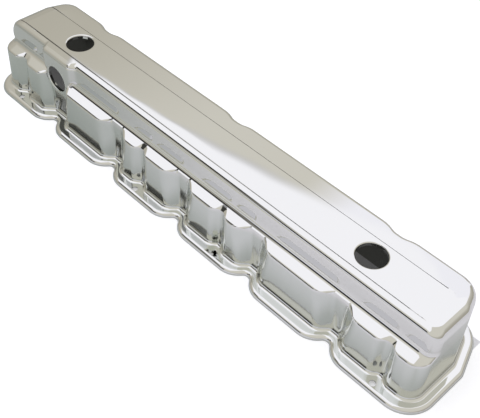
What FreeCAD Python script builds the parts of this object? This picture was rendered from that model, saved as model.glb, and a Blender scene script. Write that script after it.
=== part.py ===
import FreeCAD, Part
import math
import os

# One-piece pressed steel valve cover for an in-line six-cylinder engine.
# Lengths are in millimetres. +X runs along the engine, the scalloped side
# faces -Y and +Z is up. The origin is the middle of the plane it stands on.

# Sheet and overall size
SHEET = 1.2
HEIGHT = 93.0
PITCH = 111.76
BOLT_IN = 63.6
BOLT_OUT = 285.5

# Gasket flange with its rolled-down edge
FLANGE_X = 338.5
FLANGE_Y = 67.7
LIP_R = 5.0
FLANGE_DIP = 53.3
FLANGE_DIP_HALF = (3.2, 14.0)
FLANGE_DIP_BLEND = (3.0, 14.0)
FLANGE_CORNER_FRONT = 33.0
FLANGE_CORNER_BACK = 25.2
BOLT_Y = 59.4
BOLT_HOLE_R = 3.4

# Bevel at the back of both ends, seen from above
BEVEL_Y = 12.5
BEVEL_ANGLE = 20.0
BEVEL_BLEND = 3.0

# Wall of the lower body: lobes, deep valleys between them, shallow tucks at the bolts
WALL_NEAR = 325.0
WALL_FAR = -327.5
FOOT_R = 4.0
LOBE_FOOT = 53.0
LOBE_TOP = 52.0
BACK_FOOT = 54.0
BACK_TOP = 53.0
VALLEY_Y = 42.6
VALLEY_FOOT_HALF = (6.5, 17.0)
VALLEY_TOP_HALF = (8.5, 24.0)
BOSS_FOOT_HALF = (12.5, 23.5)
BOSS_TOP_HALF = (18.5, 28.0)
BOSS_BOX_HALF = (24.0, 33.5)
TUCK_DEPTH = 6.0
TUCK_HALF = (3.0, 11.0)
DENT_DEPTH = 4.0
DENT_HALF = (6.0, 17.0)
WALL_CORNERS = (17.0, 17.0, 15.4, 15.4)

# Ledge round the lower body
LEDGE_EDGE_Z = 54.4
LEDGE_EDGE_R = 3.0
LEDGE_SLOPE = 20.0
LEDGE_ROOT_Z = 68.0
LEDGE_ROOT_R = 8.0

# Upper box
BOX_FRONT = 36.8
BOX_FRONT_FAR = 36.2
BOX_BACK = 41.4
BOSS_Y = 43.4
BOX_CORNERS = (8.0, 11.0, 15.4, 13.0)
CREASE_FRONT = 28.6
CREASE_BACK = 15.2
STRIP_DROP = 0.8
BROW_WIDTH = 7.0
BROW_HEIGHT = 12.0
TOP_R_BACK = 6.0
TOP_R_NEAR = 12.0
TOP_R_FAR = 25.0
PANEL_NEAR = 308.0
PANEL_FAR = -300.0
PANEL_CORNER = 4.0

# Filler and breather holes in the top, and the hose hole in the side
TOP_HOLE_X = 2 * PITCH
TOP_HOLE_Y = -5.6
SIDE_HOLE_X = -225.5
SIDE_HOLE_Z = 58.0
HOLE_R = 16.0
COLLAR_R = 1.6
COLLAR_DEPTH = 4.5

TUCK_BLEND = (2.2, 3.6)
VALLEY_BLEND = (3.2, 5.2)
BOSS_BLEND = (2.6, 3.6)
DENT_BLEND = (4.0, 6.0)
MIN_FLANK = 0.35

VALLEYS = [k * PITCH for k in (-2, -1, 0, 1, 2)]
TUCKS = [-BOLT_OUT, -BOLT_IN, BOLT_IN, BOLT_OUT]
DENTS = [2 * PITCH, 0.0, -2 * PITCH]


def mix(a, b, share):
    return a + (b - a) * share


def unit(a, b):
    length = math.hypot(b[0] - a[0], b[1] - a[1])
    return (b[0] - a[0]) / length, (b[1] - a[1]) / length


def rounded(corners, z, inset=0.0):
    """Closed wire at height z through corners (x, y, tangent length), each an arc.

    An inset tightens the outward corners and opens the inward ones, as a parallel
    curve does.
    """
    points = []
    count = len(corners)
    for i in range(count):
        x, y, reach = corners[i]
        ax, ay = unit(corners[i - 1], (x, y))
        bx, by = unit((x, y), corners[(i + 1) % count])
        cross = ax * by - ay * bx
        turn = math.atan2(cross, ax * bx + ay * by)
        half = math.tan(abs(turn) / 2)
        bent = half > 0.005
        if bent:
            reach -= inset * math.copysign(half, turn)
        start = FreeCAD.Vector(x - ax * reach, y - ay * reach, z)
        end = FreeCAD.Vector(x + bx * reach, y + by * reach, z)
        middle = None
        if bent:
            radius = reach / half
            centre = start + FreeCAD.Vector(-ay, ax, 0) * math.copysign(radius, turn)
            out = FreeCAD.Vector(x, y, z) - centre
            middle = centre + out * (radius / out.Length)
        points.append((start, middle, end))
    edges = []
    for i in range(count):
        start, middle, end = points[i]
        if middle is None:
            edges.append(Part.LineSegment(start, end).toShape())
        else:
            edges.append(Part.Arc(start, middle, end).toShape())
        edges.append(Part.LineSegment(end, points[(i + 1) % count][0]).toShape())
    return Part.Wire(edges)


def notch(x, outer, inner, half, blend, inset=0.0):
    """Four corners of a notch, or of a boss, in a front edge that runs towards +X."""
    start, end = outer
    half_in, half_out = half
    turn = math.atan2(max(abs(start - inner), abs(end - inner)), half_out - half_in)
    shift = inset * math.tan(turn / 2)
    return [
        (x - half_out - shift, -start, blend[1]),
        (x - half_in - shift, -inner, blend[0]),
        (x + half_in + shift, -inner, blend[0]),
        (x + half_out + shift, -end, blend[1]),
    ]


def bevel(end, back, corner, inset):
    """Two corners at the back of the end at x = end, which is bevelled there."""
    turn = math.radians(BEVEL_ANGLE)
    start = min(BEVEL_Y - inset * math.tan(turn / 2), back - corner - BEVEL_BLEND)
    drawn = (back - start) * math.tan(turn)
    return [(end, start, BEVEL_BLEND), (end - math.copysign(drawn, end), back, corner)]


def flange_outline(z, inset=0.0):
    """Outer outline of the flange at height z, set in by inset."""
    x = FLANGE_X - inset
    y = FLANGE_Y - inset
    corners = [(-x, -y, FLANGE_CORNER_FRONT)]
    for valley in VALLEYS:
        corners += notch(
            valley, (y, y), FLANGE_DIP - inset, FLANGE_DIP_HALF, FLANGE_DIP_BLEND, inset)
    corners += [(x, -y, FLANGE_CORNER_FRONT)] + bevel(x, y, FLANGE_CORNER_BACK, inset)
    corners += reversed(bevel(-x, y, FLANGE_CORNER_BACK, inset))
    return rounded(corners, z, inset)


def body_outline(z, faces, ends, rise, inset=0.0, flat=False):
    """Outline of the cover at height z, or of the flat panel on its top.

    faces holds the distances from the X axis of the front, of the front beyond the
    boss, of the boss and of the back, and ends the x of the near and the far end.
    rise is 0 at the foot of the wall, 1 at its top and 2 in the upper box.
    """
    front, far_front, boss_face, back = faces
    near, far = ends
    low = min(rise, 1.0)
    wide = [mix(a, b, low) for a, b in zip(VALLEY_FOOT_HALF, VALLEY_TOP_HALF)]
    high = max(0.0, rise - 1.0)
    boss = [mix(a, b, low) for a, b in zip(BOSS_FOOT_HALF, BOSS_TOP_HALF)]
    boss = [mix(a, b, high) for a, b in zip(boss, BOSS_BOX_HALF)]
    lobe = mix(LOBE_FOOT, LOBE_TOP, low) - inset
    valley = min(VALLEY_Y - inset, front)
    flank = max(MIN_FLANK, (front - valley) / (lobe - VALLEY_Y + inset))
    boss_flank = max(MIN_FLANK, abs(front - boss_face) / (lobe - boss_face))
    corner = [mix(a, b, high) for a, b in zip(WALL_CORNERS, BOX_CORNERS)]
    dent = back - DENT_DEPTH
    if flat:
        corner = [PANEL_CORNER] * 4
        dent = back
    corners = [(far, -far_front, corner[0])]
    for x in sorted(VALLEYS + TUCKS):
        side = far_front if x < VALLEYS[0] else front
        if x in TUCKS:
            tuck = min(lobe - TUCK_DEPTH, side)
            half = (TUCK_HALF[0], mix(TUCK_HALF[0], TUCK_HALF[1], min(1.0, flank)))
            blend = [b * min(1.0, flank) for b in TUCK_BLEND]
            corners += notch(x, (side, side), tuck, half, blend, inset)
        elif x == VALLEYS[0]:
            half = (boss[0], mix(boss[0], boss[1], min(1.0, boss_flank)))
            blend = [b * min(1.0, boss_flank) for b in BOSS_BLEND]
            corners += notch(x, (far_front, front), boss_face, half, blend, inset)
        else:
            half = (wide[0], mix(wide[0], wide[1], flank))
            blend = [b * flank for b in VALLEY_BLEND]
            corners += notch(x, (front, front), valley, half, blend, inset)
    corners += [(near, -front, corner[1])] + bevel(near, back, corner[2], inset)
    for x in DENTS:
        corners += [
            (x + DENT_HALF[1], back, DENT_BLEND[1]),
            (x + DENT_HALF[0], dent, DENT_BLEND[0]),
            (x - DENT_HALF[0], dent, DENT_BLEND[0]),
            (x - DENT_HALF[1], back, DENT_BLEND[1]),
        ]
    corners += reversed(bevel(far, back, corner[3], inset))
    return rounded(corners, z, inset)


def bend(first, last, steps, wall):
    """Angles in radians from first to last degrees, in fewer steps inside the sheet."""
    count = steps[1] if wall else steps[0]
    return [math.radians(mix(first, last, k / count)) for k in range(count + 1)]


def lip_outlines(wall):
    """Rolled edge of the flange, from the standing edge up to its flat."""
    radius = LIP_R - wall
    outlines = []
    for a in bend(0, 90, (3, 2), wall):
        outlines.append(flange_outline(radius * math.sin(a), LIP_R - radius * math.cos(a)))
    return outlines


def foot_outlines(wall):
    """Fillet between the flange and the wall of the lower body."""
    outlines = []
    for a in bend(0, 90, (3, 2), wall):
        radius = FOOT_R + wall
        spread = FOOT_R - radius * math.sin(a)
        front = LOBE_FOOT + spread
        outlines.append(body_outline(
            LIP_R + FOOT_R - radius * math.cos(a),
            (front, front, VALLEY_Y + spread, BACK_FOOT + spread),
            (WALL_NEAR + spread, WALL_FAR - spread), 0.0, -spread))
    return outlines


def edge_outlines(wall):
    """Rounded edge between the wall of the lower body and the ledge."""
    outlines = []
    for a in bend(0, 90 - LEDGE_SLOPE, (2, 1), wall):
        radius = LEDGE_EDGE_R - wall
        front = LOBE_TOP + radius * math.cos(a) - LEDGE_EDGE_R
        outlines.append(body_outline(
            LEDGE_EDGE_Z + radius * math.sin(a),
            (front, front, BOSS_Y - wall, front + BACK_TOP - LOBE_TOP),
            (WALL_NEAR - wall, WALL_FAR + wall), 1.0, wall))
    return outlines


def root_outlines(wall):
    """Fillet between the ledge and the upper box."""
    outlines = []
    for k, a in enumerate(bend(90 - LEDGE_SLOPE, 0, (2, 2), wall)):
        radius = LEDGE_ROOT_R + wall
        out = LEDGE_ROOT_R - radius * math.cos(a)
        outlines.append(body_outline(
            LEDGE_ROOT_Z - radius * math.sin(a),
            (BOX_FRONT + out, BOX_FRONT_FAR + out, BOSS_Y - wall, BOX_BACK + out),
            (WALL_NEAR - wall, WALL_FAR + wall), 1.0 + k / 2, wall))
    return outlines


def drawn_in(z, width, height, wall, top):
    """How far a rounding that ends at height top has drawn a face in at height z."""
    risen = max(0.0, z - top + height) / (height - wall)
    return width - (width - wall) * math.sqrt(max(0.0, 1.0 - risen * risen))


def box_outline(z, wall):
    """Outline of the upper box at height z."""
    strip = HEIGHT - STRIP_DROP
    front = drawn_in(z, BROW_WIDTH, BROW_HEIGHT, wall, strip)
    return body_outline(
        z,
        (BOX_FRONT - front, BOX_FRONT_FAR - front, BOSS_Y - front,
         BOX_BACK - drawn_in(z, TOP_R_BACK, TOP_R_BACK, wall, strip)),
        (WALL_NEAR - drawn_in(z, TOP_R_NEAR, TOP_R_NEAR, wall, HEIGHT),
         WALL_FAR + drawn_in(z, TOP_R_FAR, TOP_R_FAR, wall, HEIGHT)),
        2.0, wall)


def panel_outline(wall):
    """Raised middle panel of the top, between the two creases."""
    front = CREASE_FRONT
    return body_outline(
        HEIGHT - wall, (front, front, front, CREASE_BACK),
        (PANEL_NEAR, PANEL_FAR), 2.0, 0.0, True)


def skin(wall):
    """Faces of one side of the sheet, from the standing edge to the top panel."""
    lip = lip_outlines(wall)
    body = foot_outlines(wall) + edge_outlines(wall) + root_outlines(wall)
    brow_foot = HEIGHT - STRIP_DROP - BROW_HEIGHT
    for share in (0.6, 1.0):
        body.append(box_outline(mix(LEDGE_ROOT_Z, brow_foot, share), wall))
    for a in bend(0, 90, (3, 2), wall)[1:]:
        body.append(box_outline(brow_foot + (BROW_HEIGHT - wall) * math.sin(a), wall))
    body.append(panel_outline(wall))
    flat = Part.makeFace([lip[-1], body[0]], "Part::FaceMakerBullseye")
    faces = flat.Faces + [Part.Face(body[-1])]
    for outlines in (lip, body):
        faces += Part.makeLoft(outlines, False, True).Faces
    return faces


def pressed_shell():
    """Closed solid of the sheet: outer skin, inner skin and the cut edge between them."""
    edges = [flange_outline(0.0, 0.0), flange_outline(0.0, SHEET)]
    rim = Part.makeFace(edges, "Part::FaceMakerBullseye")
    shell = Part.makeShell(skin(0.0) + skin(SHEET) + rim.Faces)
    shell.sewShape()
    solid = Part.makeSolid(shell)
    if solid.Volume < 0:
        solid.reverse()
    return solid


def collar(centre, axis):
    """Turned-in edge of a round hole: a bend and a short tube, along axis from centre."""
    outer = HOLE_R + COLLAR_R
    inner = COLLAR_R - SHEET
    turn = math.sqrt(0.5)
    points = [
        (outer, 0), (HOLE_R + COLLAR_R * (1 - turn), -COLLAR_R * (1 - turn)),
        (HOLE_R, -COLLAR_R), (HOLE_R, -COLLAR_DEPTH), (HOLE_R + SHEET, -COLLAR_DEPTH),
        (HOLE_R + SHEET, -COLLAR_R),
        (outer - inner * turn, -COLLAR_R + inner * turn), (outer, -SHEET),
    ]
    v = [FreeCAD.Vector(x, 0, z) for x, z in points]
    edges = [
        Part.Arc(v[0], v[1], v[2]).toShape(),
        Part.LineSegment(v[2], v[3]).toShape(),
        Part.LineSegment(v[3], v[4]).toShape(),
        Part.LineSegment(v[4], v[5]).toShape(),
        Part.Arc(v[5], v[6], v[7]).toShape(),
        Part.LineSegment(v[7], v[0]).toShape(),
    ]
    ring = Part.Face(Part.Wire(edges)).revolve(
        FreeCAD.Vector(0, 0, 0), FreeCAD.Vector(0, 0, 1), 360)
    up = FreeCAD.Vector(0, 0, 1)
    ring.Placement = FreeCAD.Placement(centre, FreeCAD.Rotation(up, axis))
    return ring


def valve_cover():
    cover = pressed_shell()
    up = FreeCAD.Vector(0, 0, 1)
    out = FreeCAD.Vector(0, -1, 0)
    holes = [
        (FreeCAD.Vector(-TOP_HOLE_X, TOP_HOLE_Y, HEIGHT), up),
        (FreeCAD.Vector(TOP_HOLE_X, TOP_HOLE_Y, HEIGHT), up),
        (FreeCAD.Vector(SIDE_HOLE_X, -BOSS_Y, SIDE_HOLE_Z), out),
    ]
    depth = 3 * SHEET
    cutters = []
    for centre, axis in holes:
        start = centre - axis * (depth / 2)
        cutters.append(Part.makeCylinder(HOLE_R + COLLAR_R, depth, start, axis))
    places = [(x, -BOLT_Y) for x in TUCKS] + [(x, BOLT_Y) for x in DENTS]
    for x, y in places:
        start = FreeCAD.Vector(x, y, 0)
        cutters.append(Part.makeCylinder(BOLT_HOLE_R, 2 * LIP_R, start, up))
    cover = cover.cut(cutters)
    cover = cover.fuse([collar(centre, axis) for centre, axis in holes])
    return cover.removeSplitter()


os.makedirs("parts", exist_ok=True)
cover = valve_cover()
cover.exportStep("parts/valve_cover.step")
print("valve_cover", len(cover.Solids), cover.isValid(), round(cover.Volume), cover.BoundBox)
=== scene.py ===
import math

import bmesh
import bpy
from bpy.props import FloatProperty, FloatVectorProperty, IntProperty, PointerProperty
from mathutils import Matrix, Vector
from mathutils.geometry import delaunay_2d_cdt


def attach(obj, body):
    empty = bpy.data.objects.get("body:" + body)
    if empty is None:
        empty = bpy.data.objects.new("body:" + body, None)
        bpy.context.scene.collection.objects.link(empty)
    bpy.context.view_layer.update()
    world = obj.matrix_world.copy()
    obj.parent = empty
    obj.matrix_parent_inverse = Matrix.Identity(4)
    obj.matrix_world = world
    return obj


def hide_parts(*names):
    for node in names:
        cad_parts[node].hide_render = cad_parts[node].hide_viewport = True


# One-piece pressed valve cover with mirror chrome plate. The sheet is drawn again here
# with finer bends than the construction model has, from the same outlines and sizes.
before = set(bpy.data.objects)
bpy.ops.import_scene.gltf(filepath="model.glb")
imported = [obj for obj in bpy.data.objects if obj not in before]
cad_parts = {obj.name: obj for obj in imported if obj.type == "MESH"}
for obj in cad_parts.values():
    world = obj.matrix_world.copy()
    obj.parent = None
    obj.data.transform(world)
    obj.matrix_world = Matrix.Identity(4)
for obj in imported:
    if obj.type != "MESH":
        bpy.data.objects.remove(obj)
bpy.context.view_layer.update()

bl_info = {
    "name": "Pressed valve cover",
    "version": (1, 0, 0),
    "blender": (4, 5, 0),
    "location": "View3D > Sidebar > Valve cover",
    "description": "Chrome-plated pressed valve cover with a scalloped side",
    "category": "Object",
}

MM = 0.001

# Outline sizes in millimetres, as in the construction model. A pair ending in HALF is
# the half width of a notch at its bottom and at its mouth, and one ending in BLEND the
# tangent lengths of the arcs there. CORNERS are those of the far front, near front, near
# back and far back corner.
SHEET = 1.2
HEIGHT = 93.0
PITCH = 111.76
BOLT_IN = 63.6
BOLT_OUT = 285.5
FLANGE_X = 338.5
FLANGE_Y = 67.7
LIP_R = 5.0
FLANGE_DIP = 53.3
FLANGE_DIP_HALF = (3.2, 14.0)
FLANGE_DIP_BLEND = (3.0, 14.0)
FLANGE_CORNER_FRONT = 33.0
FLANGE_CORNER_BACK = 25.2
BOLT_Y = 59.4
BOLT_HOLE_R = 3.4
BEVEL_Y = 12.5
BEVEL_ANGLE = 20.0
BEVEL_BLEND = 3.0
WALL_NEAR = 325.0
WALL_FAR = -327.5
FOOT_R = 4.0
LOBE_FOOT = 53.0
LOBE_TOP = 52.0
BACK_FOOT = 54.0
BACK_TOP = 53.0
VALLEY_Y = 42.6
VALLEY_FOOT_HALF = (6.5, 17.0)
VALLEY_TOP_HALF = (8.5, 24.0)
BOSS_FOOT_HALF = (12.5, 23.5)
BOSS_TOP_HALF = (18.5, 28.0)
BOSS_BOX_HALF = (24.0, 33.5)
TUCK_DEPTH = 6.0
TUCK_HALF = (3.0, 11.0)
DENT_DEPTH = 4.0
DENT_HALF = (6.0, 17.0)
WALL_CORNERS = (17.0, 17.0, 15.4, 15.4)
LEDGE_EDGE_Z = 54.4
LEDGE_EDGE_R = 3.0
LEDGE_SLOPE = 20.0
LEDGE_ROOT_Z = 68.0
LEDGE_ROOT_R = 8.0
BOX_FRONT = 36.8
BOX_FRONT_FAR = 36.2
BOX_BACK = 41.4
BOSS_Y = 43.4
BOX_CORNERS = (8.0, 11.0, 15.4, 13.0)
CREASE_FRONT = 28.6
CREASE_BACK = 15.2
STRIP_DROP = 0.8
TOP_R_BACK = 6.0
TOP_R_NEAR = 12.0
TOP_R_FAR = 25.0
PANEL_NEAR = 308.0
PANEL_FAR = -300.0
PANEL_CORNER = 4.0
TOP_HOLE_X = 2 * PITCH
TOP_HOLE_Y = -5.6
SIDE_HOLE_X = -225.5
SIDE_HOLE_Z = 58.0
TUCK_BLEND = (2.2, 3.6)
VALLEY_BLEND = (3.2, 5.2)
BOSS_BLEND = (2.6, 3.6)
DENT_BLEND = (4.0, 6.0)
MIN_FLANK = 0.35
VALLEYS = [k * PITCH for k in (-2, -1, 0, 1, 2)]
TUCKS = [-BOLT_OUT, -BOLT_IN, BOLT_IN, BOLT_OUT]
DENTS = [2 * PITCH, 0.0, -2 * PITCH]

# Folds and creases that only this drawing has, in millimetres. A bend is its first and
# last angle in degrees and its radius, and a flat follows it.
EDGE_BENDS = ((0.0, 38.5, 2.31), (38.5, 52.0, 1.0), (52.0, 70.0, 0.63))
EDGE_FLAT = 0.8
BROW_BENDS = ((0.0, 61.0, 6.2), (61.0, 86.0, 1.4))
BROW_FLATS = (3.1, 0.0)
GROOVE_HALF = 0.25
GROOVE_DEPTH = 1.1
CREASE_FADE = 24.0
CREASE_LINE = 0.55

# Steps of the arcs, corners and bends of the drawn sheet
ARC_STEPS = 6
CORNER_STEPS = 12
LIP_STEPS = 8
FOOT_STEPS = 7
EDGE_STEPS = 4
ROOT_STEPS = 6
BOX_STEPS = 4
BROW_STEPS = 8
BOLT_HOLE_STEPS = 32

# Extra points and outlines beside each bend keep the shading flat between two bends: a
# margin in millimetres, its largest share of a run, and shares of the way to the next
EDGE_MARGIN = 0.5
MOST_MARGIN = 0.3
WALL_SHARES = (0.02, 0.25, 0.5, 0.75, 0.98)
LEDGE_SHARES = (0.06, 0.5, 0.94)
STRIP_SHARES = (0.04, 0.5, 0.96)
FLAT_SHARES = (0.1, 0.9)
GROOVE_SIDES = ((2.4, STRIP_DROP), (2.0, STRIP_DROP), (1.0, GROOVE_DEPTH))

# Tangent of half the least turn that gets an arc, the least length that a run counts
# as, the distances within which points are welded, and the least angle of a sharp edge
STRAIGHT = 0.005
SHORTEST_RUN = 1e-6
FLAT_WELD = 1e-5
SHEET_WELD = 2e-7
COLLAR_WELD = 1e-6
SHARP_ANGLE = math.radians(38)

# Plate: haze and grain, the painted shade that darkens the wall below the ledge and the
# painted shade in the creases
HAZE_SIZE = 26.0
HAZE_RANGE = (0.45, 0.75)
GRAIN_HEIGHT = 0.0015
BUMP_HEIGHT = 0.001
LOW_WALL_SHADE = (0.90, 0.93, 0.91)
PAINTED_CREASE_SHADE = (0.05, 0.05, 0.05)

# Painted shade in the front crease: none for the first stretch in metres, then darker
FRONT_SHADE_START = 0.15
FRONT_LINE_GAIN = 1.6
FRONT_LINE_MOST = 0.7

# Colours of the room that the plate reflects
ROOM_WALL = (0.44, 0.42, 0.36)
CEILING_FAR = (0.54, 0.515, 0.44)
CEILING_NEAR = (0.72, 0.70, 0.63)
DARK_LINE = (0.03, 0.03, 0.03)
LAVENDER_FAR = (0.41, 0.44, 0.43)
LAVENDER_NEAR = (0.75, 0.75, 0.81)
OLIVE_FAR = (0.34, 0.35, 0.31)
OLIVE_NEAR = (0.62, 0.62, 0.54)
PAPER_WHITE = (1.1, 1.1, 1.15)
PAPER_BEHIND = (1.05, 1.05, 1.12)
PAPER_RIM = (0.05, 0.05, 0.045)
BACKDROP = (1.0, 1.0, 1.0)

# Borders in that room: a direction, and the two values of its dot product with the
# reflected direction between which one side passes into the other
WALL_BORDER = ((0, 0, 1), 0.15, 0.60)
CEILING_BORDER = ((1, 0, 1.2), -0.08, 0.25)
CLOSE_BORDER = ((1, 0, 0), -0.55, -0.42)
LINE_BORDER = ((0, 1, 1.30), 0.0, 0.01)
LINE_END = ((-1, 0, 0), 0.12, 0.18)
LAVENDER_BORDER = ((1, 0, 0), -0.735, -0.454)
OLIVE_BORDER = ((1, 0, 0), -0.74, -0.64)
LOW_BORDER = ((0, 1, 3.40), 0.0, 0.01)
ECHO_TOP = ((0, 1, 10.0), 0.0, 0.01)
ECHO_FOOT = ((0, -1, -4.3), 0.0, 0.01)
PAPER_NEAR_END = ((-1, 0, 0.05), -0.012, 0.004)
PAPER_FAR_END = ((1, 0, 0), -0.69, -0.685)
PAPER_FRONT = ((0.06, -1, 0.814), -0.003, 0.003)
PAPER_FRONT_NEAR = ((0.20, -1, 0.934), -0.010, 0.010)
PAPER_BACK = ((0, 1, 0.56), 0.0, 0.01)
PAPER_SOFT_BACK = ((0, 1, 0.80), 0.02, 0.26)
RIM_BORDER = ((0, 1, 1.40), 0.0, 0.01)
RIM_START = ((-1, 0, 0), 0.40, 0.50)
BEHIND_BORDER = ((0, 1, -0.76), -0.004, 0.004)
BEHIND_END = ((1, 0, 0.62), -0.02, 0.055)

# Floor in the plate, with painted shade under the cover and towards the far end: a span of X
# in metres and the colours at its far and near end
FLOOR_SHADOW_UNDER = ((-0.32, 0.12), (0.37, 0.405, 0.395), (0.58, 0.60, 0.62))
FLOOR_LAVENDER = ((-0.32, 0.12), (0.42, 0.45, 0.44), (0.79, 0.79, 0.86))
FLOOR_OLIVE = ((-0.52, -0.22), (0.36, 0.37, 0.33), (0.66, 0.66, 0.58))
OLIVE_FLOOR_END = (-0.12, 0.12)

# Middle of the cover's footprint along Y, distances from the flange between which the
# floor changes, both in metres, and the floor's glow
FOOTPRINT_Y = 0.0036
UNDER_EDGE = (-0.005, 0.030)
OUTER_EDGE = (0.13, 0.18)
OPEN_EDGE = (-0.0123, -0.0119)
OPEN_GLOW = 0.38
FLOOR_GLOW = 0.06

# Lamp in metres; camera as azimuth, elevation and roll in degrees, place in millimetres
LAMP_PLACE = (-0.5, -0.3, 1.7)
LAMP_SIZE = (1.6, 1.2)
CAMERA_ANGLES = (43.82, 45.83, 2.9)
CAMERA_PLACE = (504.42, -477.67, 696.87)
CAMERA_SENSOR = 36.0
CAMERA_LENS = 65.08
CAMERA_SHIFT = (-0.00096, -0.00065)

HOLES = [
    (Vector((-TOP_HOLE_X, TOP_HOLE_Y, HEIGHT)), Vector((0, 0, 1))),
    (Vector((TOP_HOLE_X, TOP_HOLE_Y, HEIGHT)), Vector((0, 0, 1))),
    (Vector((SIDE_HOLE_X, -BOSS_Y, SIDE_HOLE_Z)), Vector((0, -1, 0))),
]


class SheetSizes(bpy.types.PropertyGroup):
    """Sizes of the punched holes and their turned-in edges"""
    hole_radius: FloatProperty(
        name="Hole radius", description="Inner radius of the three round holes",
        default=16.0 * MM, min=0.005, unit="LENGTH", subtype="DISTANCE")
    collar_bend: FloatProperty(
        name="Collar bend", description="Radius of the bend at the edge of a round hole",
        default=1.6 * MM, min=0.0013, unit="LENGTH", subtype="DISTANCE")
    collar_depth: FloatProperty(
        name="Collar depth", description="How far the edge of a round hole turns in",
        default=4.5 * MM, min=0.002, unit="LENGTH", subtype="DISTANCE")
    collar_steps: IntProperty(
        name="Collar steps", description="Faces round each collar", default=96, min=16)
    bolt_hole_radius: FloatProperty(
        name="Bolt hole radius", description="Radius of the seven bolt holes",
        default=BOLT_HOLE_R * MM, min=0.001, unit="LENGTH", subtype="DISTANCE")


class PlateFinish(bpy.types.PropertyGroup):
    """Look of the chrome plate outside and of the sheet inside"""
    chrome_colour: FloatVectorProperty(
        name="Chrome colour", description="Colour that the plate reflects",
        default=(0.80, 0.80, 0.79), size=3, min=0.0, max=1.0, subtype="COLOR")
    inside_colour: FloatVectorProperty(
        name="Inside colour", description="Colour of the thinly plated inside",
        default=(0.42, 0.41, 0.39), size=3, min=0.0, max=1.0, subtype="COLOR")
    chrome_roughness: FloatProperty(
        name="Chrome roughness", description="Roughness of the clean plate",
        default=0.018, min=0.0, max=1.0, subtype="FACTOR")
    inside_roughness: FloatProperty(
        name="Inside roughness", description="Roughness of the thin plate inside",
        default=0.34, min=0.0, max=1.0, subtype="FACTOR")
    waviness: FloatProperty(
        name="Waviness", description="Strength of the slow waves left by pressing",
        default=0.22, min=0.0, max=1.0, subtype="FACTOR")


class StageLook(bpy.types.PropertyGroup):
    """Floor and light round the cover"""
    floor_colour: FloatVectorProperty(
        name="Floor colour", description="Colour of the plain floor",
        default=(0.78, 0.79, 0.86), size=3, min=0.0, max=1.0, subtype="COLOR")
    floor_size: FloatProperty(
        name="Floor size", description="Width of the square floor",
        default=9.0, min=1.0, unit="LENGTH", subtype="DISTANCE")
    lamp_power: FloatProperty(
        name="Lamp power", description="Power of the soft overhead lamp in watts",
        default=6.0, min=0.0)


def mix(a, b, share):
    """The value that lies a share of the way from a to b."""
    return a + (b - a) * share


def rounded(corners, z, inset=0.0):
    """Points at height z round the corners (x, y, tangent length, steps)."""
    tangents = []
    count = len(corners)
    for i in range(count):
        x, y, reach, steps = corners[i]
        here = Vector((x, y))
        before = (here - Vector(corners[i - 1][:2])).normalized()
        after = (Vector(corners[(i + 1) % count][:2]) - here).normalized()
        cross = before.x * after.y - before.y * after.x
        turn = math.atan2(cross, before.dot(after))
        half = math.tan(abs(turn) / 2)
        if half > STRAIGHT:
            reach -= inset * math.copysign(half, turn)
        start = here - before * reach
        end = here + after * reach
        if half > STRAIGHT:
            radius = reach / half
            side = math.copysign(radius, turn)
            centre = start + Vector((-before.y, before.x)) * side
            arm = start - centre
            arc = []
            for k in range(steps + 1):
                a = turn * k / steps
                c, s = math.cos(a), math.sin(a)
                arc.append(centre + Vector((arm.x * c - arm.y * s, arm.x * s + arm.y * c)))
        else:
            arc = [start.lerp(end, k / steps) for k in range(steps + 1)]
        tangents.append(arc)
    points = []
    for i in range(count):
        arc = tangents[i]
        following = tangents[(i + 1) % count][0]
        points += arc
        run = (following - arc[-1]).length
        margin = min(EDGE_MARGIN / max(run, SHORTEST_RUN), MOST_MARGIN)
        for share in (margin, 0.5, 1.0 - margin):
            points.append(arc[-1].lerp(following, share))
    return [Vector((p.x, p.y, z)) for p in points]


def notch(x, outer, inner, half, blend, inset=0.0):
    """Four corners of a notch, or of a boss, in a front edge that runs towards +X."""
    start, end = outer
    half_in, half_out = half
    turn = math.atan2(max(abs(start - inner), abs(end - inner)), half_out - half_in)
    shift = inset * math.tan(turn / 2)
    return [
        (x - half_out - shift, -start, blend[1], ARC_STEPS),
        (x - half_in - shift, -inner, blend[0], ARC_STEPS),
        (x + half_in + shift, -inner, blend[0], ARC_STEPS),
        (x + half_out + shift, -end, blend[1], ARC_STEPS),
    ]


def bevel(end, back, corner, inset):
    """Two corners at the back of the end at x = end, which is bevelled there."""
    turn = math.radians(BEVEL_ANGLE)
    start = min(BEVEL_Y - inset * math.tan(turn / 2), back - corner - BEVEL_BLEND)
    drawn = (back - start) * math.tan(turn)
    return [
        (end, start, BEVEL_BLEND, ARC_STEPS),
        (end - math.copysign(drawn, end), back, corner, CORNER_STEPS),
    ]


def flange_outline(z, inset=0.0):
    """Outer outline of the flange at height z, set in by inset."""
    x = FLANGE_X - inset
    y = FLANGE_Y - inset
    corners = [(-x, -y, FLANGE_CORNER_FRONT, CORNER_STEPS)]
    for valley in VALLEYS:
        corners += notch(
            valley, (y, y), FLANGE_DIP - inset, FLANGE_DIP_HALF, FLANGE_DIP_BLEND, inset)
    corners.append((x, -y, FLANGE_CORNER_FRONT, CORNER_STEPS))
    corners += bevel(x, y, FLANGE_CORNER_BACK, inset)
    corners += reversed(bevel(-x, y, FLANGE_CORNER_BACK, inset))
    return rounded(corners, z, inset)


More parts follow.
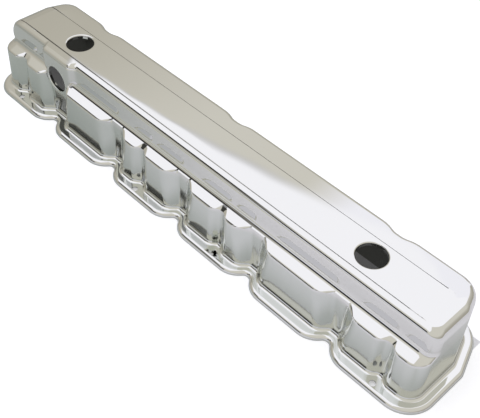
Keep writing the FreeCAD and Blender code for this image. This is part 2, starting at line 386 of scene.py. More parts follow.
def body_outline(z, faces, ends, rise, inset=0.0, flat=False):
    """Outline of the cover at height z, or of the flat panel on its top.

    faces holds the distances from the X axis of the front, of the front beyond the
    boss, of the boss and of the back, and ends the x of the near and the far end.
    rise is 0 at the foot of the wall, 1 at its top and 2 in the upper box.
    """
    front, far_front, boss_face, back = faces
    near, far = ends
    low = min(rise, 1.0)
    wide = [mix(a, b, low) for a, b in zip(VALLEY_FOOT_HALF, VALLEY_TOP_HALF)]
    high = max(0.0, rise - 1.0)
    boss = [mix(a, b, low) for a, b in zip(BOSS_FOOT_HALF, BOSS_TOP_HALF)]
    boss = [mix(a, b, high) for a, b in zip(boss, BOSS_BOX_HALF)]
    lobe = mix(LOBE_FOOT, LOBE_TOP, low) - inset
    valley = min(VALLEY_Y - inset, front)
    flank = max(MIN_FLANK, (front - valley) / (lobe - VALLEY_Y + inset))
    boss_flank = max(MIN_FLANK, abs(front - boss_face) / (lobe - boss_face))
    corner = [mix(a, b, high) for a, b in zip(WALL_CORNERS, BOX_CORNERS)]
    dent = back - DENT_DEPTH
    if flat:
        corner = [PANEL_CORNER] * 4
        dent = back
    corners = [(far, -far_front, corner[0], CORNER_STEPS)]
    for x in sorted(VALLEYS + TUCKS):
        side = far_front if x < VALLEYS[0] else front
        if x in TUCKS:
            tuck = min(lobe - TUCK_DEPTH, side)
            half = (TUCK_HALF[0], mix(TUCK_HALF[0], TUCK_HALF[1], min(1.0, flank)))
            blend = [b * min(1.0, flank) for b in TUCK_BLEND]
            corners += notch(x, (side, side), tuck, half, blend, inset)
        elif x == VALLEYS[0]:
            half = (boss[0], mix(boss[0], boss[1], min(1.0, boss_flank)))
            blend = [b * min(1.0, boss_flank) for b in BOSS_BLEND]
            corners += notch(x, (far_front, front), boss_face, half, blend, inset)
        else:
            half = (wide[0], mix(wide[0], wide[1], flank))
            blend = [b * flank for b in VALLEY_BLEND]
            corners += notch(x, (front, front), valley, half, blend, inset)
    corners.append((near, -front, corner[1], CORNER_STEPS))
    corners += bevel(near, back, corner[2], inset)
    for x in DENTS:
        corners += [
            (x + DENT_HALF[1], back, DENT_BLEND[1], ARC_STEPS),
            (x + DENT_HALF[0], dent, DENT_BLEND[0], ARC_STEPS),
            (x - DENT_HALF[0], dent, DENT_BLEND[0], ARC_STEPS),
            (x - DENT_HALF[1], back, DENT_BLEND[1], ARC_STEPS),
        ]
    corners += reversed(bevel(far, back, corner[3], inset))
    return rounded(corners, z, inset)


def bend(first, last, count):
    """Angles in radians from first to last degrees."""
    return [math.radians(mix(first, last, k / count)) for k in range(count + 1)]


def between(low, high, shares):
    """Outlines between two outlines that have the same points."""
    return [[a.lerp(b, share) for a, b in zip(low, high)] for share in shares]


def lip_outlines(wall):
    """Rolled edge of the flange, from the standing edge to just inside its flat."""
    radius = LIP_R - wall
    outlines = [
        flange_outline(radius * math.sin(a), LIP_R - radius * math.cos(a))
        for a in bend(0, 90, LIP_STEPS)]
    outlines.append(flange_outline(radius, LIP_R + EDGE_MARGIN))
    return outlines


def foot_outline(spread, z):
    """Outline of the wall's foot, spread outwards on the flange."""
    front = LOBE_FOOT + spread
    return body_outline(
        z, (front, front, VALLEY_Y + spread, BACK_FOOT + spread),
        (WALL_NEAR + spread, WALL_FAR - spread), 0.0, -spread)


def foot_outlines(wall):
    """Fillet between the flange and the wall of the lower body."""
    radius = FOOT_R + wall
    outlines = [foot_outline(FOOT_R + EDGE_MARGIN, LIP_R - wall)]
    for a in bend(0, 90, FOOT_STEPS):
        outlines.append(foot_outline(
            FOOT_R - radius * math.sin(a), LIP_R + FOOT_R - radius * math.cos(a)))
    return outlines


def edge_outlines(wall):
    """Rounded edge between the wall of the lower body and the ledge."""
    drawn, z = 0.0, LEDGE_EDGE_Z
    outlines = []
    bends = ((0.0, 90.0 - LEDGE_SLOPE, LEDGE_EDGE_R),) if wall else EDGE_BENDS
    for first, last, radius in bends:
        low = math.radians(first)
        for a in bend(first, last, EDGE_STEPS):
            front = LOBE_TOP - drawn - radius * (math.cos(low) - math.cos(a))
            front -= wall * math.cos(a)
            outlines.append(body_outline(
                z + radius * (math.sin(a) - math.sin(low)) - wall * math.sin(a),
                (front, front, BOSS_Y - wall, front + BACK_TOP - LOBE_TOP),
                (WALL_NEAR - wall, WALL_FAR + wall), 1.0, wall))
        high = math.radians(last)
        drawn += radius * (math.cos(low) - math.cos(high)) + EDGE_FLAT * math.sin(high)
        z += radius * (math.sin(high) - math.sin(low)) + EDGE_FLAT * math.cos(high)
    return outlines


def root_outlines(wall):
    """Fillet between the ledge and the upper box."""
    radius = LEDGE_ROOT_R + wall
    outlines = []
    for k, a in enumerate(bend(90 - LEDGE_SLOPE, 0, ROOT_STEPS)):
        out = LEDGE_ROOT_R - radius * math.cos(a)
        outlines.append(body_outline(
            LEDGE_ROOT_Z - radius * math.sin(a),
            (BOX_FRONT + out, BOX_FRONT_FAR + out, BOSS_Y - wall, BOX_BACK + out),
            (WALL_NEAR - wall, WALL_FAR + wall), 1.0 + k / ROOT_STEPS, wall))
    return outlines


def drawn_in(z, width, height, wall, top):
    """How far a rounding that ends at height top has drawn a face in at height z."""
    risen = max(0.0, z - top + height) / (height - wall)
    return width - (width - wall) * math.sqrt(max(0.0, 1.0 - risen * risen))


def brow_outline(front, z, wall):
    """Outline of the upper box where its front is drawn in by front at height z."""
    strip = HEIGHT - STRIP_DROP
    return body_outline(
        z,
        (BOX_FRONT - front, BOX_FRONT_FAR - front, BOSS_Y - front,
         BOX_BACK - drawn_in(z, TOP_R_BACK, TOP_R_BACK, wall, strip)),
        (WALL_NEAR - drawn_in(z, TOP_R_NEAR, TOP_R_NEAR, wall, HEIGHT),
         WALL_FAR + drawn_in(z, TOP_R_FAR, TOP_R_FAR, wall, HEIGHT)),
        2.0, wall)


def brow_section(wall):
    """Brow of the box as (drawn in, height), from the top of its face to the strip."""
    section, drawn, z = [], 0.0, 0.0
    for (first, last, radius), run in zip(BROW_BENDS, BROW_FLATS):
        low, high = math.radians(first), math.radians(last)
        for a in bend(first, last, BROW_STEPS):
            section.append((
                drawn + radius * (math.cos(low) - math.cos(a)) + wall * math.cos(a),
                z + radius * (math.sin(a) - math.sin(low)) - wall * math.sin(a)))
        across, up = section[-1]
        for share in FLAT_SHARES if run else ():
            section.append((
                across + share * run * math.sin(high), up + share * run * math.cos(high)))
        drawn += radius * (math.cos(low) - math.cos(high)) + run * math.sin(high)
        z += radius * (math.sin(high) - math.sin(low)) + run * math.cos(high)
    lift = HEIGHT - STRIP_DROP - wall - section[-1][1]
    return [(across, up + lift) for across, up in section]


def panel_outline(wall, shrink):
    """Raised middle panel of the top, between the two creases."""
    front = CREASE_FRONT - shrink
    return body_outline(
        HEIGHT - wall, (front, front, front, CREASE_BACK - shrink),
        (PANEL_NEAR - shrink, PANEL_FAR + shrink), 2.0, 0.0, True)


def faded(outline, drop):
    """The outline lowered by drop, less towards both ends, where the creases run out."""
    lowered = []
    for p in outline:
        inside = min(PANEL_NEAR - p.x, p.x - PANEL_FAR) / CREASE_FADE
        lowered.append(Vector((p.x, p.y, p.z - drop * max(0.0, min(1.0, inside)))))
    return lowered


def body_outlines(wall):
    """Outlines from the flat of the flange to the panel on the top."""
    foot = foot_outlines(wall)
    edge = edge_outlines(wall)
    root = root_outlines(wall)
    brow = brow_section(wall)
    foot_z = brow[0][1]
    box = [
        brow_outline(wall, mix(LEDGE_ROOT_Z, foot_z, k / BOX_STEPS), wall)
        for k in range(1, BOX_STEPS)]
    box += [brow_outline(front, z, wall) for front, z in brow]
    panel = panel_outline(wall, 0.0)
    outlines = foot + between(foot[-1], edge[0], WALL_SHARES) + edge
    outlines += between(edge[-1], root[0], LEDGE_SHARES) + root + box
    groove = [
        faded(panel_outline(wall, -GROOVE_HALF * share), drop)
        for share, drop in GROOVE_SIDES]
    outlines += between(box[-1], groove[0], STRIP_SHARES) + groove
    outlines += [panel, panel_outline(wall, EDGE_MARGIN)]
    return outlines


def inside_count(points, edges):
    """How many times a line from each point towards +X crosses the edges."""
    count = [0] * len(points)
    for a, b in edges:
        low, high = min(a.y, b.y), max(a.y, b.y)
        for i, p in enumerate(points):
            if low <= p.y < high:
                if p.x < a.x + (b.x - a.x) * (p.y - a.y) / (b.y - a.y):
                    count[i] += 1
    return count


def flat_between(mesh, outer, inner=()):
    """Fills the flat between the vertex loops outer and inner of the bmesh."""
    verts = list(outer) + list(inner)
    edges = []
    for start, loop in ((0, outer), (len(outer), inner)):
        edges += [(start + i, start + (i + 1) % len(loop)) for i in range(len(loop))]
    flat = [v.co.xy for v in verts]
    made = delaunay_2d_cdt(flat, edges, [], 0, FLAT_WELD)
    places, faces, sources = made[0], made[2], made[3]
    middles = [sum((places[i] for i in face), Vector((0, 0))) / len(face) for face in faces]
    inside = inside_count(middles, [(flat[a], flat[b]) for a, b in edges])
    for face, crossings in zip(faces, inside):
        if crossings % 2:
            mesh.faces.new([verts[sources[i][0]] for i in face])


def add_skin(mesh, wall):
    """One side of the sheet; returns the vertices of its standing edge."""
    stacks = []
    for outlines in (lip_outlines(wall), body_outlines(wall)):
        rings = [[mesh.verts.new(p * MM) for p in outline] for outline in outlines]
        for low, high in zip(rings, rings[1:]):
            for i in range(len(low)):
                j = (i + 1) % len(low)
                mesh.faces.new((low[i], low[j], high[j], high[i]))
        stacks.append(rings)
    lip, body = stacks
    flat_between(mesh, lip[-1], body[0])
    flat_between(mesh, body[-1])
    return lip[0]


def closed_sheet():
    """Both sides of the sheet and its standing edge as one closed bmesh."""
    mesh = bmesh.new()
    outside = add_skin(mesh, 0.0)
    outside_faces = len(mesh.faces)
    inside = add_skin(mesh, SHEET)
    mesh.faces.ensure_lookup_table()
    for face in mesh.faces[outside_faces:]:
        face.material_index = 1
    for i in range(len(outside)):
        j = (i + 1) % len(outside)
        mesh.faces.new((outside[j], outside[i], inside[i], inside[j]))
    bmesh.ops.remove_doubles(mesh, verts=mesh.verts, dist=SHEET_WELD)
    bmesh.ops.recalc_face_normals(mesh, faces=mesh.faces)
    return mesh


def punch(name, places, radius, reach, steps):
    """Cylinders (centre, axis) as one object that the holes are cut with."""
    mesh = bmesh.new()
    for centre, axis in places:
        turn = axis.to_track_quat("Z", "Y").to_matrix().to_4x4()
        bmesh.ops.create_cone(
            mesh, cap_ends=True, segments=steps, radius1=radius, radius2=radius,
            depth=reach, matrix=Matrix.Translation(centre) @ turn)
    return object_from(mesh, name)


def object_from(mesh, name):
    """A new object of the bmesh, with smooth faces."""
    for face in mesh.faces:
        face.smooth = True
    data = bpy.data.meshes.new(name)
    mesh.to_mesh(data)
    mesh.free()
    piece = bpy.data.objects.new(name, data)
    bpy.context.collection.objects.link(piece)
    return piece


def applied(piece):
    """Turns the piece, with its modifiers, into a plain mesh."""
    graph = bpy.context.evaluated_depsgraph_get()
    data = bpy.data.meshes.new_from_object(piece.evaluated_get(graph))
    piece.modifiers.clear()
    piece.data = data
    data.name = piece.name


def carried(piece):
    """The piece rides on the one body, and the construction model's cover is hidden."""
    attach(piece, "root")
    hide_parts("valve_cover")


def wire(tree, socket, value):
    """Links the value to the socket, or sets a plain value in it."""
    if isinstance(value, bpy.types.NodeSocket):
        tree.links.new(value, socket)
    else:
        socket.default_value = value


def number(tree, operation, *values):
    """Result of a Math node for the values, which are numbers or sockets."""
    node = tree.nodes.new("ShaderNodeMath")
    node.operation = operation
    for socket, value in zip(node.inputs, values):
        wire(tree, socket, value)
    return node.outputs[0]


def ramp(tree, value, low, high, kind="SMOOTHSTEP"):
    """Rise from 0 to 1 while the value goes from low to high."""
    node = tree.nodes.new("ShaderNodeMapRange")
    node.interpolation_type = kind
    node.inputs["From Min"].default_value = low
    node.inputs["From Max"].default_value = high
    tree.links.new(value, node.inputs["Value"])
    return node.outputs["Result"]


def tint(tree, share, first, second):
    """Colour that goes from first to second, which are colours or sockets."""
    node = tree.nodes.new("ShaderNodeMix")
    node.data_type = "RGBA"
    wire(tree, node.inputs["Factor"], share)
    for name, value in (("A", first), ("B", second)):
        wire(tree, node.inputs[name], (*value, 1.0) if isinstance(value, tuple) else value)
    return node.outputs["Result"]


def object_axes(tree):
    """X, Y and Z of the shaded point in the object's own axes."""
    place = tree.nodes.new("ShaderNodeTexCoord")
    parts = tree.nodes.new("ShaderNodeSeparateXYZ")
    tree.links.new(place.outputs["Object"], parts.inputs[0])
    return parts.outputs


def shader_group(name, inputs, outputs):
    """A new shader group of number sockets, with its start and its end."""
    group = bpy.data.node_groups.new(name, "ShaderNodeTree")
    for label, default in inputs:
        socket = group.interface.new_socket(
            label, in_out="INPUT", socket_type="NodeSocketFloat")
        socket.default_value = default
    for label in outputs:
        group.interface.new_socket(label, in_out="OUTPUT", socket_type="NodeSocketFloat")
    return group, group.nodes.new("NodeGroupInput"), group.nodes.new("NodeGroupOutput")


def plate_detail_group():
    """Shared marks of pressing and plating: slow waves, faint haze and fine grain."""
    name = "Plate detail"
    if name in bpy.data.node_groups:
        return bpy.data.node_groups[name]
    group, start, end = shader_group(
        name,
        (("Roughness", 0.04), ("Haze", 0.03), ("Wave size", 9.0), ("Grain size", 900.0)),
        ("Roughness", "Height"))
    place = group.nodes.new("ShaderNodeTexCoord")

    def noise(scale, detail, roughness=0.5):
        node = group.nodes.new("ShaderNodeTexNoise")
        group.links.new(place.outputs["Object"], node.inputs["Vector"])
        wire(group, node.inputs["Scale"], scale)
        node.inputs["Detail"].default_value = detail
        node.inputs["Roughness"].default_value = roughness
        return node.outputs["Fac"]

    waves = noise(start.outputs["Wave size"], detail=1.0)
    grain = noise(start.outputs["Grain size"], detail=2.0)
    haze = noise(HAZE_SIZE, detail=5.0, roughness=0.62)
    haze = ramp(group, haze, *HAZE_RANGE, kind="LINEAR")
    roughness = number(
        group, "MULTIPLY_ADD", haze, start.outputs["Haze"], start.outputs["Roughness"])
    height = number(group, "MULTIPLY_ADD", grain, GRAIN_HEIGHT, waves)
    group.links.new(roughness, end.inputs["Roughness"])
    group.links.new(height, end.inputs["Height"])
    return group


def crease_shade_group():
    """Mask of the painted shade line in the two creases of the top."""
    name = "Crease line"
    if name in bpy.data.node_groups:
        return bpy.data.node_groups[name]
    group, start, end = shader_group(
        name,
        (("Front", -CREASE_FRONT * MM), ("Back", CREASE_BACK * MM),
         ("Width", CREASE_LINE * MM), ("Top", (HEIGHT - 2 * SHEET) * MM)),
        ("Crease",))
    x, y, z = object_axes(group)

    def near(label):
        gap = number(group, "ABSOLUTE", number(group, "SUBTRACT", y, start.outputs[label]))
        return number(group, "LESS_THAN", gap, start.outputs["Width"])

    # Painted shade in the front crease grows darker away from the near end, while the back
    # crease is shaded in full
    along = number(group, "SUBTRACT", PANEL_NEAR * MM, x)
    front_shade = number(group, "SUBTRACT", along, FRONT_SHADE_START)
    front_shade = number(group, "MAXIMUM", number(group, "MULTIPLY", front_shade, FRONT_LINE_GAIN), 0.0)
    front_shade = number(group, "MINIMUM", front_shade, FRONT_LINE_MOST)
    lines = number(
        group, "MAXIMUM", number(group, "MULTIPLY", near("Front"), front_shade), near("Back"))
    runs = number(group, "GREATER_THAN", along, 0.5 * CREASE_FADE * MM)
    high = number(group, "GREATER_THAN", z, start.outputs["Top"])
    crease = number(group, "MULTIPLY", number(group, "MULTIPLY", lines, runs), high)
    group.links.new(crease, end.inputs["Crease"])
    return group


def plate_material(name, colour, roughness, haze, waviness, grain_size, low_haze):
    """Plated steel with the shared plate detail, rougher on the wall below the ledge, where
    painted shade also darkens its colour, and with painted shade in the creases.
    """
    material = bpy.data.materials.new(name)
    material.use_nodes = True
    tree = material.node_tree
    nodes, links = tree.nodes, tree.links
    shader = nodes["Principled BSDF"]
    shader.inputs["Base Color"].default_value = (*colour, 1.0)
    shader.inputs["Metallic"].default_value = 1.0
    detail = nodes.new("ShaderNodeGroup")
    detail.node_tree = plate_detail_group()
    detail.inputs["Roughness"].default_value = roughness
    detail.inputs["Haze"].default_value = haze
    detail.inputs["Grain size"].default_value = grain_size
    bump = nodes.new("ShaderNodeBump")
    bump.inputs["Strength"].default_value = waviness
    bump.inputs["Distance"].default_value = BUMP_HEIGHT
    links.new(detail.outputs["Height"], bump.inputs["Height"])
    links.new(bump.outputs["Normal"], shader.inputs["Normal"])
    height = object_axes(tree)["Z"]
    below_ledge = ramp(
        tree, height, (LEDGE_EDGE_Z + LEDGE_EDGE_R) * MM, (LEDGE_EDGE_Z - LEDGE_EDGE_R) * MM)
    above_foot = ramp(tree, height, LIP_R * MM, (LIP_R + FOOT_R) * MM)
    wall = number(tree, "MULTIPLY", below_ledge, above_foot)
    soft = number(tree, "MULTIPLY_ADD", wall, low_haze, detail.outputs["Roughness"])
    links.new(soft, shader.inputs["Roughness"])
    # Painted shade: the wall below the ledge gets a darker, slightly greenish colour
    shaded_low_colour = tuple(c * s for c, s in zip(colour, LOW_WALL_SHADE))
    plate = tint(tree, wall, tuple(colour), shaded_low_colour)
    # Painted shade: the plate's colour is darkened in the two creases of the top
    creases = nodes.new("ShaderNodeGroup")
    creases.node_tree = crease_shade_group()
    plate = tint(tree, creases.outputs["Crease"], plate, PAINTED_CREASE_SHADE)
    links.new(plate, shader.inputs["Base Color"])
    return material


def collar_tree():
    """Geometry Nodes: a turned-in ring of sheet on each point, along its axis."""
    tree = bpy.data.node_groups.new("Turned-in collars", "GeometryNodeTree")
    face = tree.interface
    face.new_socket("Geometry", in_out="INPUT", socket_type="NodeSocketGeometry")
    for label in ("Radius", "Bend", "Depth", "Thickness", "Seam"):
        face.new_socket(label, in_out="INPUT", socket_type="NodeSocketFloat")
    face.new_socket("Steps", in_out="INPUT", socket_type="NodeSocketInt")
    face.new_socket("Plate", in_out="INPUT", socket_type="NodeSocketMaterial")
    face.new_socket("Geometry", in_out="OUTPUT", socket_type="NodeSocketGeometry")
    nodes, links = tree.nodes, tree.links
    start = nodes.new("NodeGroupInput")
    end = nodes.new("NodeGroupOutput")

    def place(across, down):
        node = nodes.new("ShaderNodeCombineXYZ")
        wire(tree, node.inputs["X"], across)
        wire(tree, node.inputs["Y"], down)
        return node.outputs[0]

    def arc(first, middle, last, steps):
        node = nodes.new("GeometryNodeCurveArc")
        node.mode = "POINTS"
        node.inputs["Resolution"].default_value = steps
        for name, point in (("Start", first), ("Middle", middle), ("End", last)):
            links.new(point, node.inputs[name])
        return node.outputs[0]

    def line(first, last):
        node = nodes.new("GeometryNodeCurvePrimitiveLine")
        links.new(first, node.inputs["Start"])
        links.new(last, node.inputs["End"])
        return node.outputs[0]

    turn = start.outputs["Bend"]
    sheet = start.outputs["Thickness"]
    depth = start.outputs["Depth"]
    flat_end = number(tree, "ADD", turn, start.outputs["Seam"])
    outer_middle = number(tree, "MULTIPLY", turn, 1.0 - math.sqrt(0.5))
    inner_middle = number(
        tree, "MULTIPLY", number(tree, "SUBTRACT", turn, sheet), math.sqrt(0.5))
    inner_middle = number(tree, "SUBTRACT", turn, inner_middle)
    section = [
        arc(place(turn, 0.0), place(outer_middle, outer_middle), place(0.0, turn), 9),
        line(place(0.0, turn), place(0.0, depth)),
        line(place(0.0, depth), place(sheet, depth)),
        line(place(sheet, depth), place(sheet, turn)),
        arc(place(sheet, turn), place(inner_middle, inner_middle), place(turn, sheet), 5),
        line(place(turn, sheet), place(flat_end, sheet)),
        line(place(flat_end, sheet), place(flat_end, 0.0)),
        line(place(flat_end, 0.0), place(turn, 0.0)),
    ]
    gather = nodes.new("GeometryNodeJoinGeometry")
    for curve in reversed(section):
        links.new(curve, gather.inputs[0])
    ring = nodes.new("GeometryNodeCurvePrimitiveCircle")
    links.new(start.outputs["Steps"], ring.inputs["Resolution"])
    links.new(start.outputs["Radius"], ring.inputs["Radius"])
    sweep = nodes.new("GeometryNodeCurveToMesh")
    links.new(ring.outputs[0], sweep.inputs["Curve"])
    links.new(gather.outputs[0], sweep.inputs["Profile Curve"])
    weld = nodes.new("GeometryNodeMergeByDistance")
    weld.inputs["Distance"].default_value = COLLAR_WELD
    links.new(sweep.outputs[0], weld.inputs[0])
    axis = nodes.new("GeometryNodeInputNamedAttribute")
    axis.data_type = "FLOAT_VECTOR"
    axis.inputs["Name"].default_value = "axis"
    aim = nodes.new("FunctionNodeAlignRotationToVector")
    aim.axis = "Z"
    links.new(axis.outputs["Attribute"], aim.inputs["Vector"])
    place_rings = nodes.new("GeometryNodeInstanceOnPoints")
    links.new(start.outputs["Geometry"], place_rings.inputs["Points"])
    links.new(weld.outputs[0], place_rings.inputs["Instance"])
    links.new(aim.outputs[0], place_rings.inputs["Rotation"])
    realise = nodes.new("GeometryNodeRealizeInstances")
    links.new(place_rings.outputs[0], realise.inputs[0])
    smooth = nodes.new("GeometryNodeSetShadeSmooth")
    links.new(realise.outputs[0], smooth.inputs[0])
    plated = nodes.new("GeometryNodeSetMaterial")
    links.new(smooth.outputs[0], plated.inputs["Geometry"])
    links.new(start.outputs["Plate"], plated.inputs["Material"])
    links.new(plated.outputs[0], end.inputs[0])
    return tree


def set_input(modifier, label, value):
    """Sets a Geometry Nodes input by the identifier of its socket."""
    for item in modifier.node_group.interface.items_tree:
        if item.name == label and item.in_out == "INPUT":
            modifier[item.identifier] = value


class COVER_OT_sheet(bpy.types.Operator):
    """Draw the pressed sheet of the cover with its punched holes"""
    bl_idname = "cover.sheet"
    bl_label = "Pressed sheet"

    def execute(self, context):
        sizes = context.scene.cover_sizes
        finish = context.scene.cover_finish
        piece = object_from(closed_sheet(), "pressed_sheet")
        piece.data.materials.append(plate_material(
            "Chrome plate", finish.chrome_colour, finish.chrome_roughness, haze=0.012,
            waviness=finish.waviness, grain_size=900.0, low_haze=0.11))
        piece.data.materials.append(plate_material(
            "Thin plate inside", finish.inside_colour, finish.inside_roughness, haze=0.14,
            waviness=0.5, grain_size=260.0, low_haze=0.05))
        round_holes = punch(
            "round_holes", [(centre * MM, axis) for centre, axis in HOLES],
            sizes.hole_radius + sizes.collar_bend + EDGE_MARGIN * MM, 3 * SHEET * MM,
            sizes.collar_steps)
        places = [(x, -BOLT_Y) for x in TUCKS] + [(x, BOLT_Y) for x in DENTS]
        bolt_holes = punch(
            "bolt_holes",
            [(Vector((x, y, LIP_R)) * MM, Vector((0, 0, 1))) for x, y in places],
            sizes.bolt_hole_radius, 2 * LIP_R * MM, BOLT_HOLE_STEPS)
        for cutter in (round_holes, bolt_holes):
            cut = piece.modifiers.new(cutter.name, "BOOLEAN")
            cut.operation = "DIFFERENCE"
            cut.object = cutter
            cut.solver = "EXACT"
        applied(piece)
        for cutter in (round_holes, bolt_holes):
            bpy.data.objects.remove(cutter)
        piece.data.set_sharp_from_angle(angle=SHARP_ANGLE)
        carried(piece)
        return {"FINISHED"}


class COVER_OT_collars(bpy.types.Operator):
    """Turn the edges of the three round holes in"""
    bl_idname = "cover.collars"
    bl_label = "Hole collars"

    def execute(self, context):
        sizes = context.scene.cover_sizes
        data = bpy.data.meshes.new("hole_collars")
        data.from_pydata([centre * MM for centre, axis in HOLES], [], [])
        axes = data.attributes.new("axis", "FLOAT_VECTOR", "POINT")
        for item, (centre, axis) in zip(axes.data, HOLES):
            item.vector = axis
        piece = bpy.data.objects.new("hole_collars", data)
        context.collection.objects.link(piece)
        rings = piece.modifiers.new("Collars", "NODES")
        rings.node_group = collar_tree()
        set_input(rings, "Radius", sizes.hole_radius)
        set_input(rings, "Bend", sizes.collar_bend)
        set_input(rings, "Depth", sizes.collar_depth)
        set_input(rings, "Thickness", SHEET * MM)
        set_input(rings, "Seam", EDGE_MARGIN * MM)
        set_input(rings, "Steps", sizes.collar_steps)
        set_input(rings, "Plate", bpy.data.materials["Chrome plate"])
        applied(piece)
        if not piece.data.polygons:
            raise RuntimeError("the collars came out empty")
        mesh = bmesh.new()
        mesh.from_mesh(piece.data)
        bmesh.ops.recalc_face_normals(mesh, faces=mesh.faces)
        mesh.to_mesh(piece.data)
        mesh.free()
        piece.data.set_sharp_from_angle(angle=SHARP_ANGLE)
        carried(piece)
        return {"FINISHED"}


def world_light(world):
    """Studio as the plate sees it: a white sheet overhead and a warm grey room."""
    world.use_nodes = True
    tree = world.node_tree
    tree.nodes.clear()
    place = tree.nodes.new("ShaderNodeTexCoord")

    def side(border):
        direction, low, high = border
        dot = tree.nodes.new("ShaderNodeVectorMath")
        dot.operation = "DOT_PRODUCT"
        dot.inputs[1].default_value = direction
        tree.links.new(place.outputs["Generated"], dot.inputs[0])
        return ramp(tree, dot.outputs["Value"], low, high)

    def both(first, *others):
        for other in others:
            first = number(tree, "MULTIPLY", first, other)
        return first

    # The room: a warm wall, and a ceiling that is lighter towards the near end
    lit = tint(tree, side(CEILING_BORDER), CEILING_FAR, CEILING_NEAR)
    room = tint(tree, side(WALL_BORDER), ROOM_WALL, lit)
    # Below it a dark line, in what the near half of the cover sees
    close = side(CLOSE_BORDER)
    line = tint(tree, both(close, side(LINE_END)), room, DARK_LINE)
    room = tint(tree, side(LINE_BORDER), line, room)
    # Lowest the pale ground, lavender to the near half and olive to the far half
    lavender = tint(tree, side(LAVENDER_BORDER), LAVENDER_FAR, LAVENDER_NEAR)
    olive = tint(tree, side(OLIVE_BORDER), OLIVE_FAR, OLIVE_NEAR)
    low = tint(tree, close, olive, lavender)
    room = tint(tree, side(LOW_BORDER), low, room)
    # The band that the wall of the box sees by way of the ledge
    echo = both(side(ECHO_TOP), side(ECHO_FOOT))
    room = tint(tree, echo, room, lavender)
    # White paper overhead, with a dark rim for the far half and a soft one for the near
    near_end = side(PAPER_NEAR_END)
    front = number(tree, "MAXIMUM", side(PAPER_FRONT), side(PAPER_FRONT_NEAR))
    over = both(front, near_end, side(PAPER_FAR_END))
    rim = both(over, side(RIM_START), side(RIM_BORDER))
    room = tint(tree, rim, room, PAPER_RIM)
    soft_back = both(close, side(PAPER_SOFT_BACK))
    over = both(over, number(tree, "MAXIMUM", side(PAPER_BACK), soft_back))
    # White behind the cover
    back = both(near_end, side(BEHIND_END), side(BEHIND_BORDER))
    overhead = tint(tree, back, room, PAPER_BEHIND)
    overhead = tint(tree, over, overhead, PAPER_WHITE)
    paths = tree.nodes.new("ShaderNodeLightPath")
    seen = tint(tree, paths.outputs["Is Camera Ray"], overhead, BACKDROP)
    background = tree.nodes.new("ShaderNodeBackground")
    tree.links.new(seen, background.inputs["Color"])
    out = tree.nodes.new("ShaderNodeOutputWorld")
    tree.links.new(background.outputs[0], out.inputs["Surface"])


def floor_material(colour):
    """Plain pale paper with a faint glow everywhere and a brighter one for the camera away
    from the cover; in the plate it takes painted shade, darker under the cover and far along
    it.
    """
    material = bpy.data.materials.new("Floor paper")
    material.use_nodes = True
    tree = material.node_tree
    shader = tree.nodes["Principled BSDF"]
    shader.inputs["Roughness"].default_value = 0.9
    shader.inputs["Specular IOR Level"].default_value = 0.0
    shader.inputs["Emission Color"].default_value = (1.0, 1.0, 1.0, 1.0)
    paths = tree.nodes.new("ShaderNodeLightPath")
    axes = object_axes(tree)
    x = axes["X"]
    from_middle = number(
        tree, "ABSOLUTE", number(tree, "SUBTRACT", axes["Y"], FOOTPRINT_Y))
    gap = number(
        tree, "MAXIMUM",
        number(tree, "SUBTRACT", number(tree, "ABSOLUTE", x), FLANGE_X * MM),
        number(tree, "SUBTRACT", from_middle, FLANGE_Y * MM))

    def along(span, far, near):
        return tint(tree, ramp(tree, x, *span), far, near)

    # Painted shade, seen only in the plate: the floor is darker under and right next to the
    # cover and towards its far end
    lavender = along(*FLOOR_LAVENDER)
    outer = tint(tree, ramp(tree, x, *OLIVE_FLOOR_END), along(*FLOOR_OLIVE), lavender)
    plate = tint(tree, ramp(tree, gap, *UNDER_EDGE), along(*FLOOR_SHADOW_UNDER), lavender)
    plate = tint(tree, ramp(tree, gap, *OUTER_EDGE), plate, outer)
    paper = tint(tree, paths.outputs["Is Glossy Ray"], tuple(colour), plate)
    tree.links.new(paper, shader.inputs["Base Color"])
    open_floor = ramp(tree, gap, *OPEN_EDGE)
    glow = number(tree, "MULTIPLY", open_floor, paths.outputs["Is Camera Ray"])
    strength = number(tree, "MULTIPLY_ADD", glow, OPEN_GLOW, FLOOR_GLOW)
    tree.links.new(strength, shader.inputs["Emission Strength"])
    return material


def photo_camera(context):
    """Camera at the angle of the photograph, which is 480 by 418; the render size is not set
    here.
    """
    azimuth, elevation, roll = (math.radians(a) for a in CAMERA_ANGLES)
    back = Vector((
        math.sin(azimuth) * math.cos(elevation),
        -math.cos(azimuth) * math.cos(elevation), math.sin(elevation)))
    across = Vector((math.cos(azimuth), math.sin(azimuth), 0))
    up = back.cross(across)
    axes = (
        across * math.cos(roll) + up * math.sin(roll),
        up * math.cos(roll) - across * math.sin(roll), back)
    data = bpy.data.cameras.new("Photo camera")
    data.sensor_width = CAMERA_SENSOR
    data.lens = CAMERA_LENS
    data.shift_x, data.shift_y = CAMERA_SHIFT
    data.clip_start = 0.01
    camera = bpy.data.objects.new("Photo camera", data)
    turned = Matrix(axes).transposed().to_4x4()
    camera.matrix_world = Matrix.Translation(Vector(CAMERA_PLACE) * MM) @ turned
    context.collection.objects.link(camera)
    return camera


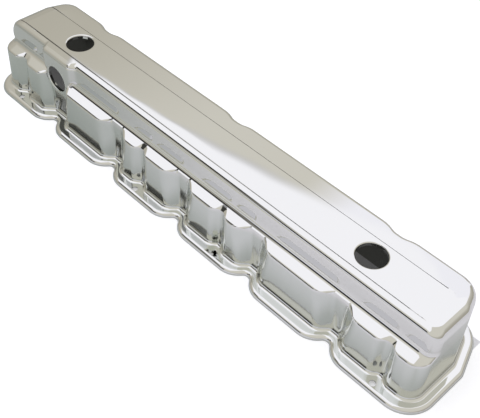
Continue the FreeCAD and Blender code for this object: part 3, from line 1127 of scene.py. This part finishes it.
def overhead_lamp(power):
    """Soft lamp above the cover, out of sight of the camera and the plate."""
    lamp = bpy.data.lights.new("Overhead", "AREA")
    lamp.shape = "RECTANGLE"
    lamp.size, lamp.size_y = LAMP_SIZE
    lamp.energy = power
    overhead = bpy.data.objects.new("Overhead", lamp)
    place = Vector(LAMP_PLACE)
    turned = place.to_track_quat("Z", "Y").to_matrix().to_4x4()
    overhead.matrix_world = Matrix.Translation(place) @ turned
    overhead.visible_glossy = False
    overhead.visible_camera = False
    return overhead


class COVER_OT_stage(bpy.types.Operator):
    """Set the floor, the light and the camera"""
    bl_idname = "cover.stage"
    bl_label = "Stage"

    def execute(self, context):
        look = context.scene.cover_stage
        scene = context.scene
        scene.view_settings.view_transform = "Standard"
        mesh = bmesh.new()
        bmesh.ops.create_grid(mesh, x_segments=1, y_segments=1, size=look.floor_size / 2)
        floor = object_from(mesh, "floor")
        floor.data.materials.append(floor_material(look.floor_colour))
        scene.world = bpy.data.worlds.new("Studio")
        world_light(scene.world)
        context.collection.objects.link(overhead_lamp(look.lamp_power))
        scene.camera = photo_camera(context)
        return {"FINISHED"}


class COVER_PT_panel(bpy.types.Panel):
    """Sizes, finish and stage of the cover, with the operators that draw them"""
    bl_idname = "COVER_PT_panel"
    bl_label = "Valve cover"
    bl_space_type = "VIEW_3D"
    bl_region_type = "UI"
    bl_category = "Valve cover"

    def draw(self, context):
        scene = context.scene
        for group in (scene.cover_sizes, scene.cover_finish, scene.cover_stage):
            box = self.layout.box()
            for name in group.__annotations__:
                box.prop(group, name)
        for operator in (COVER_OT_sheet, COVER_OT_collars, COVER_OT_stage):
            self.layout.operator(operator.bl_idname)


CLASSES = (
    SheetSizes, PlateFinish, StageLook,
    COVER_OT_sheet, COVER_OT_collars, COVER_OT_stage, COVER_PT_panel)


def register():
    for item in CLASSES:
        bpy.utils.register_class(item)
    bpy.types.Scene.cover_sizes = PointerProperty(type=SheetSizes)
    bpy.types.Scene.cover_finish = PointerProperty(type=PlateFinish)
    bpy.types.Scene.cover_stage = PointerProperty(type=StageLook)


def unregister():
    del bpy.types.Scene.cover_stage
    del bpy.types.Scene.cover_finish
    del bpy.types.Scene.cover_sizes
    for item in reversed(CLASSES):
        bpy.utils.unregister_class(item)


def main():
    """Draws the cover and its stage."""
    register()
    bpy.ops.cover.sheet()
    bpy.ops.cover.collars()
    bpy.ops.cover.stage()


if __name__ == "__main__":
    main()
